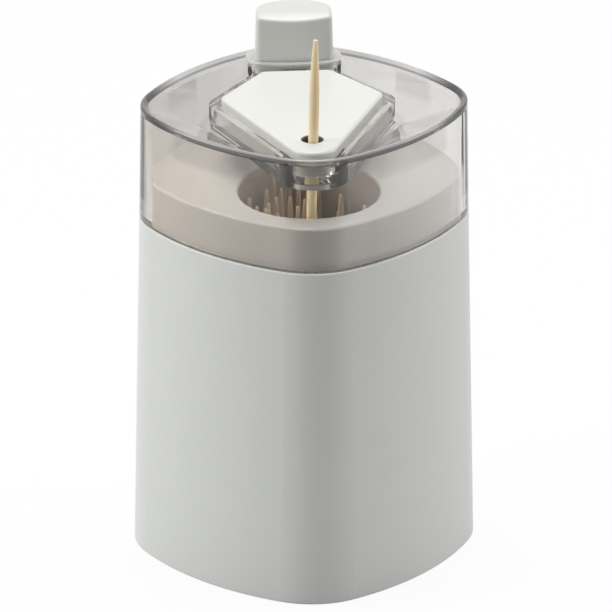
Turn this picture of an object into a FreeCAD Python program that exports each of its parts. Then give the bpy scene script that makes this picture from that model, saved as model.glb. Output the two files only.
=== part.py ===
import FreeCAD, Part
import Sketcher
import math
import os
from FreeCAD import Vector

# Toothpick dispenser: a square shell with bowed sides that stands corner forwards, a
# clear lid with a dish, and a button at the back corner that works a gate at the outlet.
# Front is -Y, the button is at +Y, and the origin is under the middle of the foot.

SIZES = [
    # outline of the shell and lid from above, at the rim
    ("seam_height", 70.6, "table to the seam under the lid"),
    ("lid_height", 23.65, "seam to the top of the rim"),
    ("rim_reach", 32.5, "middle to a round corner, at the rim"),
    ("corner_round", 14.3, "radius of the four corners, at the rim"),
    ("face_round", 54.4, "radius of the four bowed sides, at the rim"),
    ("lid_flare", 0.45, "how far the lid widens from rim to seam"),
    ("body_flare", 1.65, "how far the shell widens from seam to foot"),
    # outer shell
    ("body_wall", 2.0, "wall of the outer shell"),
    ("seat_depth", 8.0, "seam down to the shelf that carries the container"),
    ("shelf_width", 1.4, "how far the shelf stands in from the wall"),
    ("shelf_height", 3.0, "height of the shelf"),
    ("rabbet_depth", 0.9, "step cut into the wall for the base plate"),
    ("foot_round", 0.5, "rounding of the shell's foot"),
    ("seam_round", 0.35, "rounding of the shell's top edge"),
    # base plate
    ("plate_fit", 0.1, "gap round the base plate"),
    ("plate_recess", 0.8, "table to the underside of the base plate"),
    ("base_thick", 2.0, "thickness of the base plate"),
    ("ring_wall", 1.5, "wall of the ring that locates the cup"),
    ("ring_fit", 0.2, "gap between that ring and the cup"),
    ("cross_height", 5.6, "height of the cross under the cup"),
    ("ring_grip", 3.4, "how far that ring reaches up round the cup"),
    ("cross_thick", 1.6, "thickness of that cross"),
    # pick container
    ("neck_wall", 1.6, "wall of the neck"),
    ("neck_thick", 1.8, "thickness of the neck's top"),
    ("neck_round", 0.6, "rounding of the neck's top edge"),
    ("well_clear", 1.2, "gap between the neck's top and the button's well"),
    ("plug_fit", 0.1, "gap between the container and the shell"),
    ("mouth_radius", 13.9, "radius of the mouth and cup"),
    ("mouth_land", 5.4, "neck's front corner to the mouth"),
    ("mouth_round", 0.5, "rounding of the mouth's edge"),
    ("cup_wall", 1.3, "wall of the cup"),
    ("cup_floor", 1.6, "thickness of the cup's floor"),
    ("rib_thick", 1.4, "thickness of the ribs under the neck's top"),
    ("rib_drop", 5.0, "depth of those ribs"),
    # lid
    ("lid_wall", 1.8, "wall of the lid at the seam"),
    ("rim_wall", 1.1, "wall of the lid under the rim"),
    ("lid_fit", 0.2, "gap between the lid and the neck"),
    ("rim_land", 0.65, "flat of the rim, from the lid's outside to the dish"),
    ("dish_depth", 5.8, "rim down to the floor of the dish"),
    ("dish_corner", 0.9, "radius of the corners of the dish's floor"),
    ("dish_thick", 1.3, "thickness of the dish, straight down"),
    ("tub_depth", 6.1, "rim down to the floor of the tub under the plate"),
    ("tub_floor", 1.4, "thickness of the tub's floor"),
    ("rim_round", 0.35, "rounding of the rim"),
    # kite-shaped plate and the collar round it
    ("nose_round", 4.8, "radius of the kite's front corner"),
    ("nose_inset", 3.6, "collar's nose behind the rim's front corner"),
    ("wing_reach", 14.2, "middle of a side corner, sideways"),
    ("wing_back", 5.0, "middle of a side corner, behind the object's middle"),
    ("wing_round", 1.9, "radius of a side corner"),
    ("tail_reach", 6.0, "middle of a back corner, sideways"),
    ("tail_round", 1.9, "radius of a back corner"),
    ("collar_gap", 1.0, "gap between the plate and the collar"),
    ("collar_wall", 1.5, "wall of the collar"),
    ("collar_drop", 2.1, "rim down to the collar's top"),
    ("cover_drop", 0.7, "rim down to the plate's top"),
    ("cover_thick", 1.6, "thickness of the plate"),
    ("skirt_wall", 1.2, "wall of the plate's skirt"),
    ("cover_round", 0.7, "rounding of the plate's top edge"),
    # outlet
    ("outlet_setback", 2.55, "outlet's middle behind the middle of the kite's front corner"),
    ("outlet_radius", 2.1, "radius of the outlet"),
    ("outlet_round", 0.3, "rounding of the outlet's edge"),
    ("boss_radius", 3.0, "outside of the plate's tube"),
    ("boss_in", 0.5, "how far the tube reaches into the tub's floor"),
    ("boss_fit", 0.1, "gap round and under the tube"),
    ("socket_radius", 6.1, "outside of the lid's socket"),
    ("socket_top", 3.0, "rim down to the socket's top"),
    ("socket_stand", 0.6, "how far the socket stands down from the tub"),
    ("socket_round", 0.4, "rounding of the socket's end"),
    ("socket_fit", 0.2, "gap between the socket and the plate"),
    ("throat_radius", 2.6, "hole in the socket's end"),
    ("throat_bevel", 0.6, "bevel that leads picks into that hole"),
    # button and its guide
    ("button_half", 7.9, "half the button's width"),
    ("button_inset", 10.6, "button's front face before the rim's back corner"),
    ("button_bow", 32.0, "radius of the button's bowed front"),
    ("button_edge", 1.3, "radius of the button's front corners"),
    ("button_shoulder", 3.0, "radius of the button's back corners"),
    ("hollow_edge", 0.4, "radius of the front corners inside the button"),
    ("button_wall", 1.4, "wall of the button"),
    ("button_rise", 10.5, "rim up to the button's crown"),
    ("crown_radius", 14.0, "radius of the crown, seen from the side"),
    ("crown_in", 7.5, "highest point of the crown behind the button's front"),
    ("button_draft", 0.3, "how far the button narrows to its top"),
    ("button_sunk", 5.0, "rim down to the button's lower edge"),
    ("button_round", 0.7, "rounding of the button's top edge"),
    ("button_gap", 0.2, "gap between the button and its guide"),
    ("ceiling_rise", 7.0, "rim up to the inside of the button's top"),
    ("guide_wall", 1.45, "wall of the guide"),
    ("well_depth", 12.25, "rim down to the guide's floor"),
    ("well_floor", 1.4, "thickness of the guide's floor"),
    ("travel", 4.0, "how far the button goes down"),
    ("lug_reach", 0.6, "how far a retaining lug stands out"),
    ("lug_height", 1.4, "height of a lug"),
    ("lug_in", 2.3, "front of a lug behind the button's front"),
    ("lug_length", 1.7, "length of a lug"),
    ("lug_gap", 0.2, "gap round a lug in its groove"),
    # gate, and the leg that works it
    ("gate_thick", 1.6, "thickness of the gate"),
    ("gate_half", 3.5, "half the width of its middle"),
    ("tongue_length", 8.85, "outlet's middle to the front of the gate's middle"),
    ("gate_stop", 1.7, "gap between the drawn gate's middle and the plate's skirt"),
    ("arm_half", 2.15, "half the width of its back arm"),
    ("arm_in", 4.0, "how far the arm reaches into the button"),
    ("tongue_half", 1.3, "half the width of its tongue"),
    ("tongue_hold", 0.4, "how far the tongue's horns stop short of the pick's axis"),
    ("gate_gap", 0.15, "gap beside and over the gate"),
    ("gate_float", 0.05, "gap under the gate"),
    ("gate_travel", 2.0, "how far the gate moves for the whole travel"),
    ("rail_wall", 1.0, "width of the rails beside the gate"),
    ("rail_height", 1.3, "height of those rails"),
    ("rail_inset", 2.0, "how far the rails stop short of the gate's middle"),
    ("leg_half", 1.0, "half the width of the button's leg"),
    ("leg_thick", 1.6, "thickness of the leg, front to back"),
    ("leg_in", 1.6, "leg's middle at the gate, behind the button's front"),
    ("leg_over", 0.4, "how far the leg's slant reaches past the gate"),
    # springs
    ("spring_side", 3.4, "a spring's axis in from the button's side"),
    ("coil_radius", 1.1, "middle of the wire to the spring's axis"),
    ("wire_radius", 0.2, "radius of the wire"),
    ("coil_turns", 7, "turns of a spring"),
    ("spring_gap", 0.05, "gap at a spring's ends"),
    ("post_radius", 0.6, "radius of the posts that hold a spring"),
    ("post_height", 1.5, "height of those posts"),
    # picks
    ("pick_length", 65.0, "length of a pick"),
    ("pick_radius", 1.0, "radius of a pick"),
    ("pick_taper", 13.0, "length of a pick's point"),
    ("pick_tip", 0.38, "radius of a pick's tip"),
    ("pick_shown", 21.0, "how far the held pick stands out of the plate"),
    ("pick_lean", 1.2, "lean of the held pick to the side, in degrees"),
    ("pick_slack", 0.05, "gap round the held pick"),
    ("store_gap", 0.9, "gap between the outer stored picks and the cup"),
    ("ring_count", 3, "rings of stored picks"),
    ("pick_step", 5.0, "distance between the stored picks of a ring"),
    ("pick_slant", 1.5, "slant of the stored picks, in degrees"),
    ("pick_lift", 0.1, "gap under the stored picks"),
    ("lane_radius", 3.5, "space kept free of stored picks round the outlet's line"),
]
# Sizes that follow from those above.
WORKED_OUT = [
    ("rim_height", "seam_height + lid_height"),
    ("tub_top", "rim_height - tub_depth"),
    ("tub_under", "tub_top - tub_floor"),
    ("dish_under", "rim_height - dish_depth - dish_thick"),
    ("dish_run", "corner_round - dish_corner - rim_land"),
    ("dish_edge", "rim_height - dish_thick - (rim_wall - rim_land) * dish_depth / dish_run"),
    ("collar_top", "rim_height - collar_drop"),
    ("socket_end", "tub_under - socket_stand"),
    ("boss_drop", "tub_depth + boss_in"),
    ("cover_top", "rim_height - cover_drop"),
    ("well_top", "rim_height - well_depth"),
    ("neck_top", "well_top - well_floor - well_clear"),
    ("neck_under", "neck_top - neck_thick"),
    ("shelf_top", "seam_height - seat_depth"),
    ("base_top", "plate_recess + base_thick"),
    ("cup_under", "base_top + cross_height"),
    ("ring_height", "cross_height + ring_grip"),
    ("foot_grow", "lid_flare + body_flare"),
    ("shell_inside", "lid_flare - body_wall"),
    ("neck_grow", "0 - lid_wall - lid_fit"),
    ("mouth_forward", "rim_reach + neck_grow - mouth_land - mouth_radius"),
    ("nose_forward", "rim_reach - nose_inset - collar_wall - collar_gap - nose_round"),
    ("outlet_forward", "nose_forward - outlet_setback"),
    ("button_front", "rim_reach - button_inset"),
    ("guide_front", "button_front - button_gap - guide_wall"),
    ("tail_back", "guide_front - collar_gap - tail_round"),
    ("crown_back", "button_front + crown_in"),
    ("lug_front", "button_front + lug_in"),
    ("spring_aside", "button_half - spring_side"),
    ("hollow_front", "button_front + button_bow"
     " - sqrt((button_bow - button_wall) ^ 2 - spring_aside ^ 2)"),
    ("hollow_bow", "corner_round - lid_wall - 2 * button_gap - button_wall"),
    ("hollow_back", "rim_reach - corner_round + sqrt(hollow_bow ^ 2 - spring_aside ^ 2)"),
    ("spring_back", "(hollow_front + hollow_back) / 2"),
    ("leg_back", "button_front + leg_in"),
    ("arm_end", "button_front + arm_in"),
    ("gate_front", "outlet_forward - tongue_length"),
    ("gate_back", "tail_back + tail_round - skirt_wall - gate_stop - gate_travel"),
    ("gate_space", "gate_float + gate_thick + gate_gap"),
    ("rail_front", "gate_front - rail_inset"),
    ("rail_back", "gate_back - rail_inset"),
    ("ring_step", "(mouth_radius - store_gap - pick_radius) / ring_count"),
]
ALIASES = {alias for alias, *rest in SIZES + WORKED_OUT}

doc = FreeCAD.newDocument("ToothpickDispenser")
sheet = doc.addObject("Spreadsheet::Sheet", "Sizes")
for row, (alias, amount, meaning) in enumerate(SIZES, start=1):
    sheet.set("A%d" % row, meaning)
    sheet.set("B%d" % row, str(amount))
    sheet.setAlias("B%d" % row, alias)
for row, (alias, text) in enumerate(WORKED_OUT, start=len(SIZES) + 1):
    sheet.set("B%d" % row, "=" + text)
    sheet.setAlias("B%d" % row, alias)
doc.recompute()


# ---------------------------------------------------------------- formulas and sketches

def size(alias):
    """Number that the sheet holds under an alias."""
    return float(getattr(sheet, alias))


def formula(text):
    """Expression of the document, from aliases and numbers with spaces between them."""
    return " ".join("Sizes." + word if word in ALIASES else word for word in text.split())


def number(text):
    """Value of a formula that adds, subtracts, multiplies and divides."""
    total = 0.0
    for term in text.replace("- ", "+ -1 * ").split("+ "):
        value = 1.0 if term.strip() else 0.0
        divide = False
        for word in term.split():
            if word in ("*", "/"):
                divide = word == "/"
            else:
                amount = size(word) if word in ALIASES else float(word)
                value = value / amount if divide else value * amount
        total += value
    return total


def minus(text, less):
    """Formula of one formula less another."""
    return text + " - " + less.replace(" - ", " ~ ").replace(" + ", " - ").replace(" ~ ", " + ")


def bind(thing, path, text):
    thing.setExpression(path, formula(text))


def new_body(label):
    body = doc.addObject("PartDesign::Body", label)
    body.Label = label
    return body


def new_sketch(body, name, height="0", plane="XY_Plane"):
    """Sketch on one of the body's own planes, moved along that plane's normal."""
    sketch = body.newObject("Sketcher::SketchObject", name)
    support = [origin for origin in body.Origin.OriginFeatures if origin.Role == plane][0]
    sketch.AttachmentSupport = [(support, "")]
    sketch.MapMode = "FlatFace"
    bind(sketch, "AttachmentOffset.Base.z", height)
    return sketch


def fix(sketch, kind, *where, text):
    """Dimension of the sketch that follows a formula."""
    index = sketch.addConstraint(Sketcher.Constraint(kind, *where, number(text)))
    sketch.renameConstraint(index, "size%d" % index)
    bind(sketch, "Constraints.size%d" % index, text)


def place(sketch, shape, vertex, across, along):
    """Hold a point of the sketch at two distances from the sketch's origin."""
    for text, kind, axis in ((across, "DistanceX", -2), (along, "DistanceY", -1)):
        if text == "0":
            sketch.addConstraint(Sketcher.Constraint("PointOnObject", shape, vertex, axis))
        elif number(text) < 0:
            fix(sketch, kind, shape, vertex, -1, 1, text=minus("0", text))
        else:
            fix(sketch, kind, -1, 1, shape, vertex, text=text)


def join(sketch, kind, first, count):
    """Join each shape's end to the next one's start, round a closed outline."""
    for step in range(count):
        after = first + (step + 1) % count
        sketch.addConstraint(Sketcher.Constraint(kind, first + step, 2, after, 1))


def add_arc(sketch, middle, radius, start, end):
    circle = Part.Circle(middle, Vector(0, 0, 1), radius)
    return sketch.addGeometry(Part.ArcOfCircle(circle, start, end))


def draw_circle(sketch, radius, across="0", along="0"):
    middle = Vector(number(across), number(along), 0)
    shape = sketch.addGeometry(Part.Circle(middle, Vector(0, 0, 1), number(radius)))
    fix(sketch, "Radius", shape, text=radius)
    if across == "0" and along == "0":
        sketch.addConstraint(Sketcher.Constraint("Coincident", shape, 3, -1, 1))
    else:
        place(sketch, shape, 3, across, along)


def draw_polygon(sketch, corners):
    """Closed outline of straight lines, with each corner given by two formulas."""
    first = sketch.GeometryCount
    points = [Vector(number(across), number(along), 0) for across, along in corners]
    for start, end in zip(points, points[1:] + points[:1]):
        sketch.addGeometry(Part.LineSegment(start, end))
    join(sketch, "Coincident", first, len(corners))
    for step, (across, along) in enumerate(corners):
        place(sketch, first + step, 1, across, along)


def draw_box(sketch, left, right, front, back):
    draw_polygon(sketch, [(left, front), (right, front), (right, back), (left, back)])


def draw_squircle(sketch, grow="0"):
    """Outline of the shell and lid: round corners on the axes joined by bowed sides.

    All outlines share their arcs' middles, so one that is grown runs parallel."""
    first = sketch.GeometryCount
    corner = number("corner_round + " + grow)
    side = number("face_round + " + grow)
    centre = number("rim_reach - corner_round")
    apart = side - corner
    beyond = (math.sqrt(4 * apart ** 2 - 2 * centre ** 2) - math.sqrt(2) * centre) / 2
    half = math.atan2(beyond / math.sqrt(2), centre + beyond / math.sqrt(2))
    for quarter in range(4):
        turn = quarter * math.pi / 2
        opposite = turn + 1.25 * math.pi
        corner_middle = Vector(centre * math.cos(turn), centre * math.sin(turn), 0)
        side_middle = Vector(beyond * math.cos(opposite), beyond * math.sin(opposite), 0)
        add_arc(sketch, corner_middle, corner, turn - half, turn + half)
        add_arc(sketch, side_middle, side, turn + half, turn + math.pi / 2 - half)
    join(sketch, "Tangent", first, 8)
    fix(sketch, "Radius", first, text="corner_round + " + grow)
    fix(sketch, "Radius", first + 1, text="face_round + " + grow)
    for step in range(2, 8):
        sketch.addConstraint(Sketcher.Constraint("Equal", first + step % 2, first + step))
    out, back = "rim_reach - corner_round", "corner_round - rim_reach"
    places = ((out, "0"), ("0", out), (back, "0"), ("0", back))
    for quarter, (across, along) in enumerate(places):
        place(sketch, first + 2 * quarter, 3, across, along)


def draw_belt(sketch, rounds):
    """Outline of a belt round circles, each given by two formulas and a radius."""
    first = sketch.GeometryCount
    circles = [(Vector(number(across), number(along), 0), number(radius))
               for across, along, radius in rounds]
    normals = []
    for (middle, radius), (after, after_radius) in zip(circles, circles[1:] + circles[:1]):
        way = after - middle
        normals.append(math.atan2(way.y, way.x) - math.acos((radius - after_radius) / way.Length))
    for step, (middle, radius) in enumerate(circles):
        start, end = normals[step - 1], normals[step]
        if end < start:
            end += 2 * math.pi
        add_arc(sketch, middle, radius, start, end)
        after, after_radius = circles[(step + 1) % len(circles)]
        outwards = Vector(math.cos(end), math.sin(end), 0)
        sketch.addGeometry(Part.LineSegment(middle + outwards * radius,
                                            after + outwards * after_radius))
    join(sketch, "Tangent", first, 2 * len(rounds))
    for step, (across, along, radius) in enumerate(rounds):
        place(sketch, first + 2 * step, 3, across, along)
        fix(sketch, "Radius", first + 2 * step, text=radius)


def draw_kite(sketch, grow="0"):
    """Outline of the plate, or one that runs parallel to it."""
    draw_belt(sketch, [
        ("0", "0 - nose_forward", "nose_round + " + grow),
        ("wing_reach", "wing_back", "wing_round + " + grow),
        ("tail_reach", "tail_back", "tail_round + " + grow),
        ("0 - tail_reach", "tail_back", "tail_round + " + grow),
        ("0 - wing_reach", "wing_back", "wing_round + " + grow),
    ])


def draw_button(sketch, grow, edge):
    """Outline of the button, with a bowed front and the lid's round corner behind."""
    first = sketch.GeometryCount
    small, large = edge, "button_shoulder + " + grow
    front, back = "button_bow + " + grow, "corner_round - lid_wall - 2 * button_gap + " + grow
    front_middle, back_middle = "button_front + button_bow", "rim_reach - corner_round"
    wide = number("button_half + " + grow)
    edge_middle = Vector(wide - number(small), number(front_middle), 0)
    edge_middle.y -= math.sqrt((number(front) - number(small)) ** 2 - edge_middle.x ** 2)
    shoulder = Vector(wide - number(large), number(back_middle), 0)
    shoulder.y += math.sqrt((number(back) - number(large)) ** 2 - shoulder.x ** 2)
    tilt = math.atan2(number(front_middle) - edge_middle.y, edge_middle.x)
    slope = math.atan2(shoulder.y - number(back_middle), shoulder.x)
    add_arc(sketch, Vector(0, number(front_middle), 0), number(front), tilt - math.pi, -tilt)
    add_arc(sketch, edge_middle, number(small), -tilt, 0)
    sketch.addGeometry(Part.LineSegment(Vector(wide, edge_middle.y, 0),
                                        Vector(wide, shoulder.y, 0)))
    add_arc(sketch, shoulder, number(large), 0, slope)
    add_arc(sketch, Vector(0, number(back_middle), 0), number(back), slope, math.pi - slope)
    add_arc(sketch, Vector(-shoulder.x, shoulder.y, 0), number(large), math.pi - slope, math.pi)
    sketch.addGeometry(Part.LineSegment(Vector(-wide, shoulder.y, 0),
                                        Vector(-wide, edge_middle.y, 0)))
    add_arc(sketch, Vector(-edge_middle.x, edge_middle.y, 0), number(small),
            math.pi, math.pi + tilt)
    join(sketch, "Tangent", first, 8)
    sketch.addConstraint(Sketcher.Constraint("Vertical", first + 2))
    sketch.addConstraint(Sketcher.Constraint("Vertical", first + 6))
    fix(sketch, "DistanceX", -1, 1, first + 2, 1, text="button_half + " + grow)
    fix(sketch, "DistanceX", first + 6, 1, -1, 1, text="button_half + " + grow)
    for shape, radius in ((0, front), (1, small), (3, large), (4, back)):
        fix(sketch, "Radius", first + shape, text=radius)
    sketch.addConstraint(Sketcher.Constraint("Equal", first + 1, first + 7))
    sketch.addConstraint(Sketcher.Constraint("Equal", first + 3, first + 5))
    place(sketch, first, 3, "0", front_middle)
    place(sketch, first + 4, 3, "0", back_middle)


# ---------------------------------------------------------------- solid features

def extrude(kind, sketch, name, length, up=True):
    """Pad or Pocket of a sketch, towards the sketch plane's normal or away from it."""
    feature = sketch.getParentGeoFeatureGroup().newObject("PartDesign::" + kind, name)
    feature.Profile = sketch
    bind(feature, "Length", length)
    feature.Reversed = up if kind == "Pocket" else not up
    return feature


def loft(kind, name, lower, upper):
    feature = lower.getParentGeoFeatureGroup().newObject("PartDesign::" + kind, name)
    feature.Profile = lower
    feature.Sections = [upper]
    feature.Ruled = True
    return feature


def soften(kind, body, name, amount, wanted):
    """Fillet or Chamfer of the edges for which wanted(edge) is true."""
    doc.recompute()
    base = body.Tip
    edges = ["Edge%d" % place_in_list for place_in_list, edge
             in enumerate(base.Shape.Edges, start=1) if wanted(edge)]
    feature = body.newObject("PartDesign::" + kind, name)
    feature.Base = (base, edges)
    bind(feature, "Radius" if kind == "Fillet" else "Size", amount)
    return feature


def level(edge, height):
    """Whether an edge lies flat at a height."""
    box = edge.BoundBox
    return abs(box.ZMin - height) < 0.01 and abs(box.ZMax - height) < 0.01


def edges_along(sketch, height):
    """Test for flat edges that follow a sketch's outline, lifted to a height."""
    doc.recompute()
    outline = sketch.Shape.copy()
    outline.translate(Vector(0, 0, number(height) - outline.BoundBox.ZMin))

    def wanted(edge):
        middle = edge.valueAt((edge.FirstParameter + edge.LastParameter) / 2)
        near = outline.distToShape(Part.Vertex(middle))[0] < 0.01
        return near and level(edge, number(height))
    return wanted


# ---------------------------------------------------------------- pieces of the base

def build_outer_body():
    body = new_body("outer_body")
    foot = new_sketch(body, "foot_outline")
    draw_squircle(foot, "foot_grow")
    seam = new_sketch(body, "seam_outline", "seam_height")
    draw_squircle(seam, "lid_flare")
    loft("AdditiveLoft", "shell", foot, seam)
    inner_foot = new_sketch(body, "inner_foot_outline")
    draw_squircle(inner_foot, "foot_grow - body_wall")
    inner_seam = new_sketch(body, "inner_seam_outline", "seam_height")
    draw_squircle(inner_seam, "shell_inside")
    loft("SubtractiveLoft", "hollow", inner_foot, inner_seam)
    shelf = new_sketch(body, "shelf_outline", "shelf_top")
    draw_squircle(shelf, "shell_inside + body_wall / 2")
    draw_squircle(shelf, "shell_inside - shelf_width")
    extrude("Pad", shelf, "shelf", "shelf_height", up=False)
    rabbet = new_sketch(body, "rabbet_outline")
    draw_squircle(rabbet, "foot_grow - body_wall + rabbet_depth")
    extrude("Pocket", rabbet, "rabbet", "base_top")
    soften("Fillet", body, "rounded_foot", "foot_round", edges_along(foot, "0"))
    soften("Fillet", body, "rounded_seam", "seam_round", edges_along(seam, "seam_height"))
    return body


def build_base_plate():
    body = new_body("base_plate")
    outline = new_sketch(body, "plate_outline", "plate_recess")
    draw_squircle(outline, "foot_grow - body_wall + rabbet_depth - plate_fit")
    extrude("Pad", outline, "plate", "base_thick")
    ring = new_sketch(body, "ring_outline", "base_top")
    inside = "mouth_radius + cup_wall + ring_fit"
    draw_circle(ring, inside + " + ring_wall", "0", "0 - mouth_forward")
    draw_circle(ring, inside, "0", "0 - mouth_forward")
    extrude("Pad", ring, "ring", "ring_height")
    reach, thin = inside + " + ring_wall / 2", "cross_thick / 2"
    for name, across, along in (("beam", reach, thin), ("crossbeam", thin, reach)):
        beam = new_sketch(body, name + "_outline", "base_top")
        draw_box(beam, minus("0", across), across,
                 minus("0 - mouth_forward", along), along + " - mouth_forward")
        extrude("Pad", beam, name, "cross_height")
    return body


def build_pick_container():
    body = new_body("pick_container")
    plug = new_sketch(body, "plug_outline", "shelf_top")
    draw_squircle(plug, "shell_inside - plug_fit")
    extrude("Pad", plug, "plug", "seat_depth")
    neck = new_sketch(body, "neck_outline", "shelf_top")
    draw_squircle(neck, "neck_grow")
    extrude("Pad", neck, "neck", minus("neck_top", "shelf_top"))
    hollow = new_sketch(body, "hollow_outline", "shelf_top")
    draw_squircle(hollow, "neck_grow - neck_wall")
    extrude("Pocket", hollow, "hollow", minus("neck_under", "shelf_top"))
    cup = new_sketch(body, "cup_outline", "cup_under")
    draw_circle(cup, "mouth_radius + cup_wall", "0", "0 - mouth_forward")
    extrude("Pad", cup, "cup", minus("neck_top", "cup_under"))
    reach, thin = "rim_reach - lid_wall - lid_fit - neck_wall / 2", "rib_thick / 2"
    side_ribs = new_sketch(body, "side_rib_outline", "neck_under")
    draw_box(side_ribs, minus("0", reach), reach, "0 - rib_thick / 2", thin)
    extrude("Pad", side_ribs, "side_ribs", "rib_drop", up=False)
    back_rib = new_sketch(body, "back_rib_outline", "neck_under")
    draw_box(back_rib, "0 - rib_thick / 2", thin, "0", reach)
    extrude("Pad", back_rib, "back_rib", "rib_drop", up=False)
    mouth = new_sketch(body, "mouth_outline", "neck_top")
    draw_circle(mouth, "mouth_radius", "0", "0 - mouth_forward")
    extrude("Pocket", mouth, "mouth", minus("neck_top", "cup_under") + " - cup_floor", up=False)
    soften("Fillet", body, "rounded_neck", "neck_round", edges_along(neck, "neck_top"))
    soften("Fillet", body, "rounded_mouth", "mouth_round", edges_along(mouth, "neck_top"))
    return body


# ---------------------------------------------------------------- lid and cover plate

def draw_nose(sketch, radius):
    """Outline of the thick nose, from the outlet to the collar's front corner."""
    draw_belt(sketch, [("0", "0 - nose_forward", radius), ("0", "0 - outlet_forward", radius)])


def build_lid():
    body = new_body("lid")
    seam = new_sketch(body, "seam_outline", "seam_height")
    draw_squircle(seam, "lid_flare")
    rim = new_sketch(body, "rim_outline", "rim_height")
    draw_squircle(rim)
    loft("AdditiveLoft", "block", seam, rim)
    inside = new_sketch(body, "inside_outline", "seam_height")
    draw_squircle(inside, "0 - lid_wall")
    ceiling = new_sketch(body, "ceiling_outline", "dish_edge")
    draw_squircle(ceiling, "0 - rim_wall")
    loft("SubtractiveLoft", "inside", inside, ceiling)
    add_dish(body)
    soften("Fillet", body, "rounded_rim", "rim_round", edges_along(rim, "rim_height"))
    add_tub(body)
    add_socket(body)
    add_guide(body)
    add_gate_way(body)
    soften("Fillet", body, "rounded_seam", "seam_round", edges_along(seam, "seam_height"))
    return body


def add_dish(body):
    """Dish that slopes from the rim to a flat floor, as thick all over."""
    wall = new_sketch(body, "dish_wall_outline", "dish_edge")
    draw_squircle(wall, "0 - rim_wall")
    underside = new_sketch(body, "dish_underside_outline", "dish_under")
    draw_squircle(underside, "dish_corner - corner_round")
    loft("AdditiveLoft", "dish_underside", underside, wall)
    floor = new_sketch(body, "dish_floor_outline", "rim_height - dish_depth")
    draw_squircle(floor, "dish_corner - corner_round")
    edge = new_sketch(body, "dish_outline", "rim_height")
    draw_squircle(edge, "0 - rim_land")
    loft("SubtractiveLoft", "dish", floor, edge)


def add_tub(body):
    """Tub that the plate lies in. Its wall stands out of the dish as the collar."""
    tub = new_sketch(body, "tub_outline", "tub_under")
    draw_kite(tub, "collar_gap + collar_wall")
    extrude("Pad", tub, "tub", minus("collar_top", "tub_under"))
    bed = new_sketch(body, "bed_outline", "rim_height")
    draw_kite(bed, "collar_gap")
    extrude("Pocket", bed, "bed", "tub_depth", up=False)
    nose = new_sketch(body, "nose_outline", "tub_top")
    draw_nose(nose, "socket_radius")
    extrude("Pad", nose, "nose", "tub_depth - socket_top")


def add_socket(body):
    """Socket for the plate's tube, which ends in the throat that the picks enter."""
    across, along = "0", "0 - outlet_forward"
    socket = new_sketch(body, "socket_outline", "socket_end")
    draw_circle(socket, "socket_radius", across, along)
    extrude("Pad", socket, "socket", "socket_stand + tub_floor")
    end = edges_along(socket, "socket_end")
    soften("Fillet", body, "rounded_socket", "socket_round", end)
    bore = new_sketch(body, "bore_outline", "rim_height - socket_top")
    draw_circle(bore, "boss_radius + boss_fit", across, along)
    extrude("Pocket", bore, "bore", "boss_drop + boss_fit - socket_top", up=False)
    throat = new_sketch(body, "throat_outline", "socket_end")
    draw_circle(throat, "throat_radius", across, along)
    extrude("Pocket", throat, "throat", minus("rim_height - socket_top", "socket_end"))
    mouth = edges_along(throat, "socket_end")
    soften("Chamfer", body, "bevelled_throat", "throat_bevel", mouth)


def add_guide(body):
    """Guide that the button slides in, with grooves for its lugs and spring posts."""
    guide = new_sketch(body, "guide_outline", "rim_height")
    draw_button(guide, "button_gap + guide_wall", "button_edge + button_gap + guide_wall")
    extrude("Pad", guide, "guide", "well_depth + well_floor", up=False)
    well = new_sketch(body, "well_outline", "rim_height")
    draw_button(well, "button_gap", "button_edge + button_gap")
    extrude("Pocket", well, "well", "well_depth", up=False)
    groove_top = "rim_height - button_sunk + lug_height + lug_gap"
    groove = new_sketch(body, "groove_outline", groove_top)
    reach = "button_half + lug_reach + lug_gap"
    draw_box(groove, minus("0", reach), reach, "lug_front - lug_gap",
             "lug_front + lug_length + lug_gap")
    extrude("Pocket", groove, "lug_grooves", minus(groove_top, "well_top"), up=False)
    posts = new_sketch(body, "post_outline", "well_top")
    draw_circle(posts, "post_radius", "0 - spring_aside", "spring_back")
    draw_circle(posts, "post_radius", "spring_aside", "spring_back")
    extrude("Pad", posts, "spring_posts", "post_height")


def add_gate_way(body):
    """Rails that guide the gate, and the openings it reaches through at both ends."""
    window = new_sketch(body, "window_outline", "tub_top")
    draw_box(window, "0 - arm_half - gate_gap", "arm_half + gate_gap",
             "tail_back + tail_round + collar_gap / 2", "button_front")
    extrude("Pocket", window, "arm_window", "gate_space")
    slot = new_sketch(body, "slot_outline", "tub_top")
    draw_box(slot, "0 - tongue_half - gate_gap", "tongue_half + gate_gap",
             "0 - outlet_forward", "socket_radius + gate_gap - outlet_forward")
    extrude("Pocket", slot, "tongue_slot", "tub_depth - socket_top")
    rails = new_sketch(body, "rail_outline", "tub_top")
    near, far = "gate_half + gate_gap", "gate_half + gate_gap + rail_wall"
    draw_box(rails, near, far, "0 - rail_front", "rail_back")
    draw_box(rails, minus("0", far), minus("0", near), "0 - rail_front", "rail_back")
    extrude("Pad", rails, "rails", "rail_height")


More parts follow.
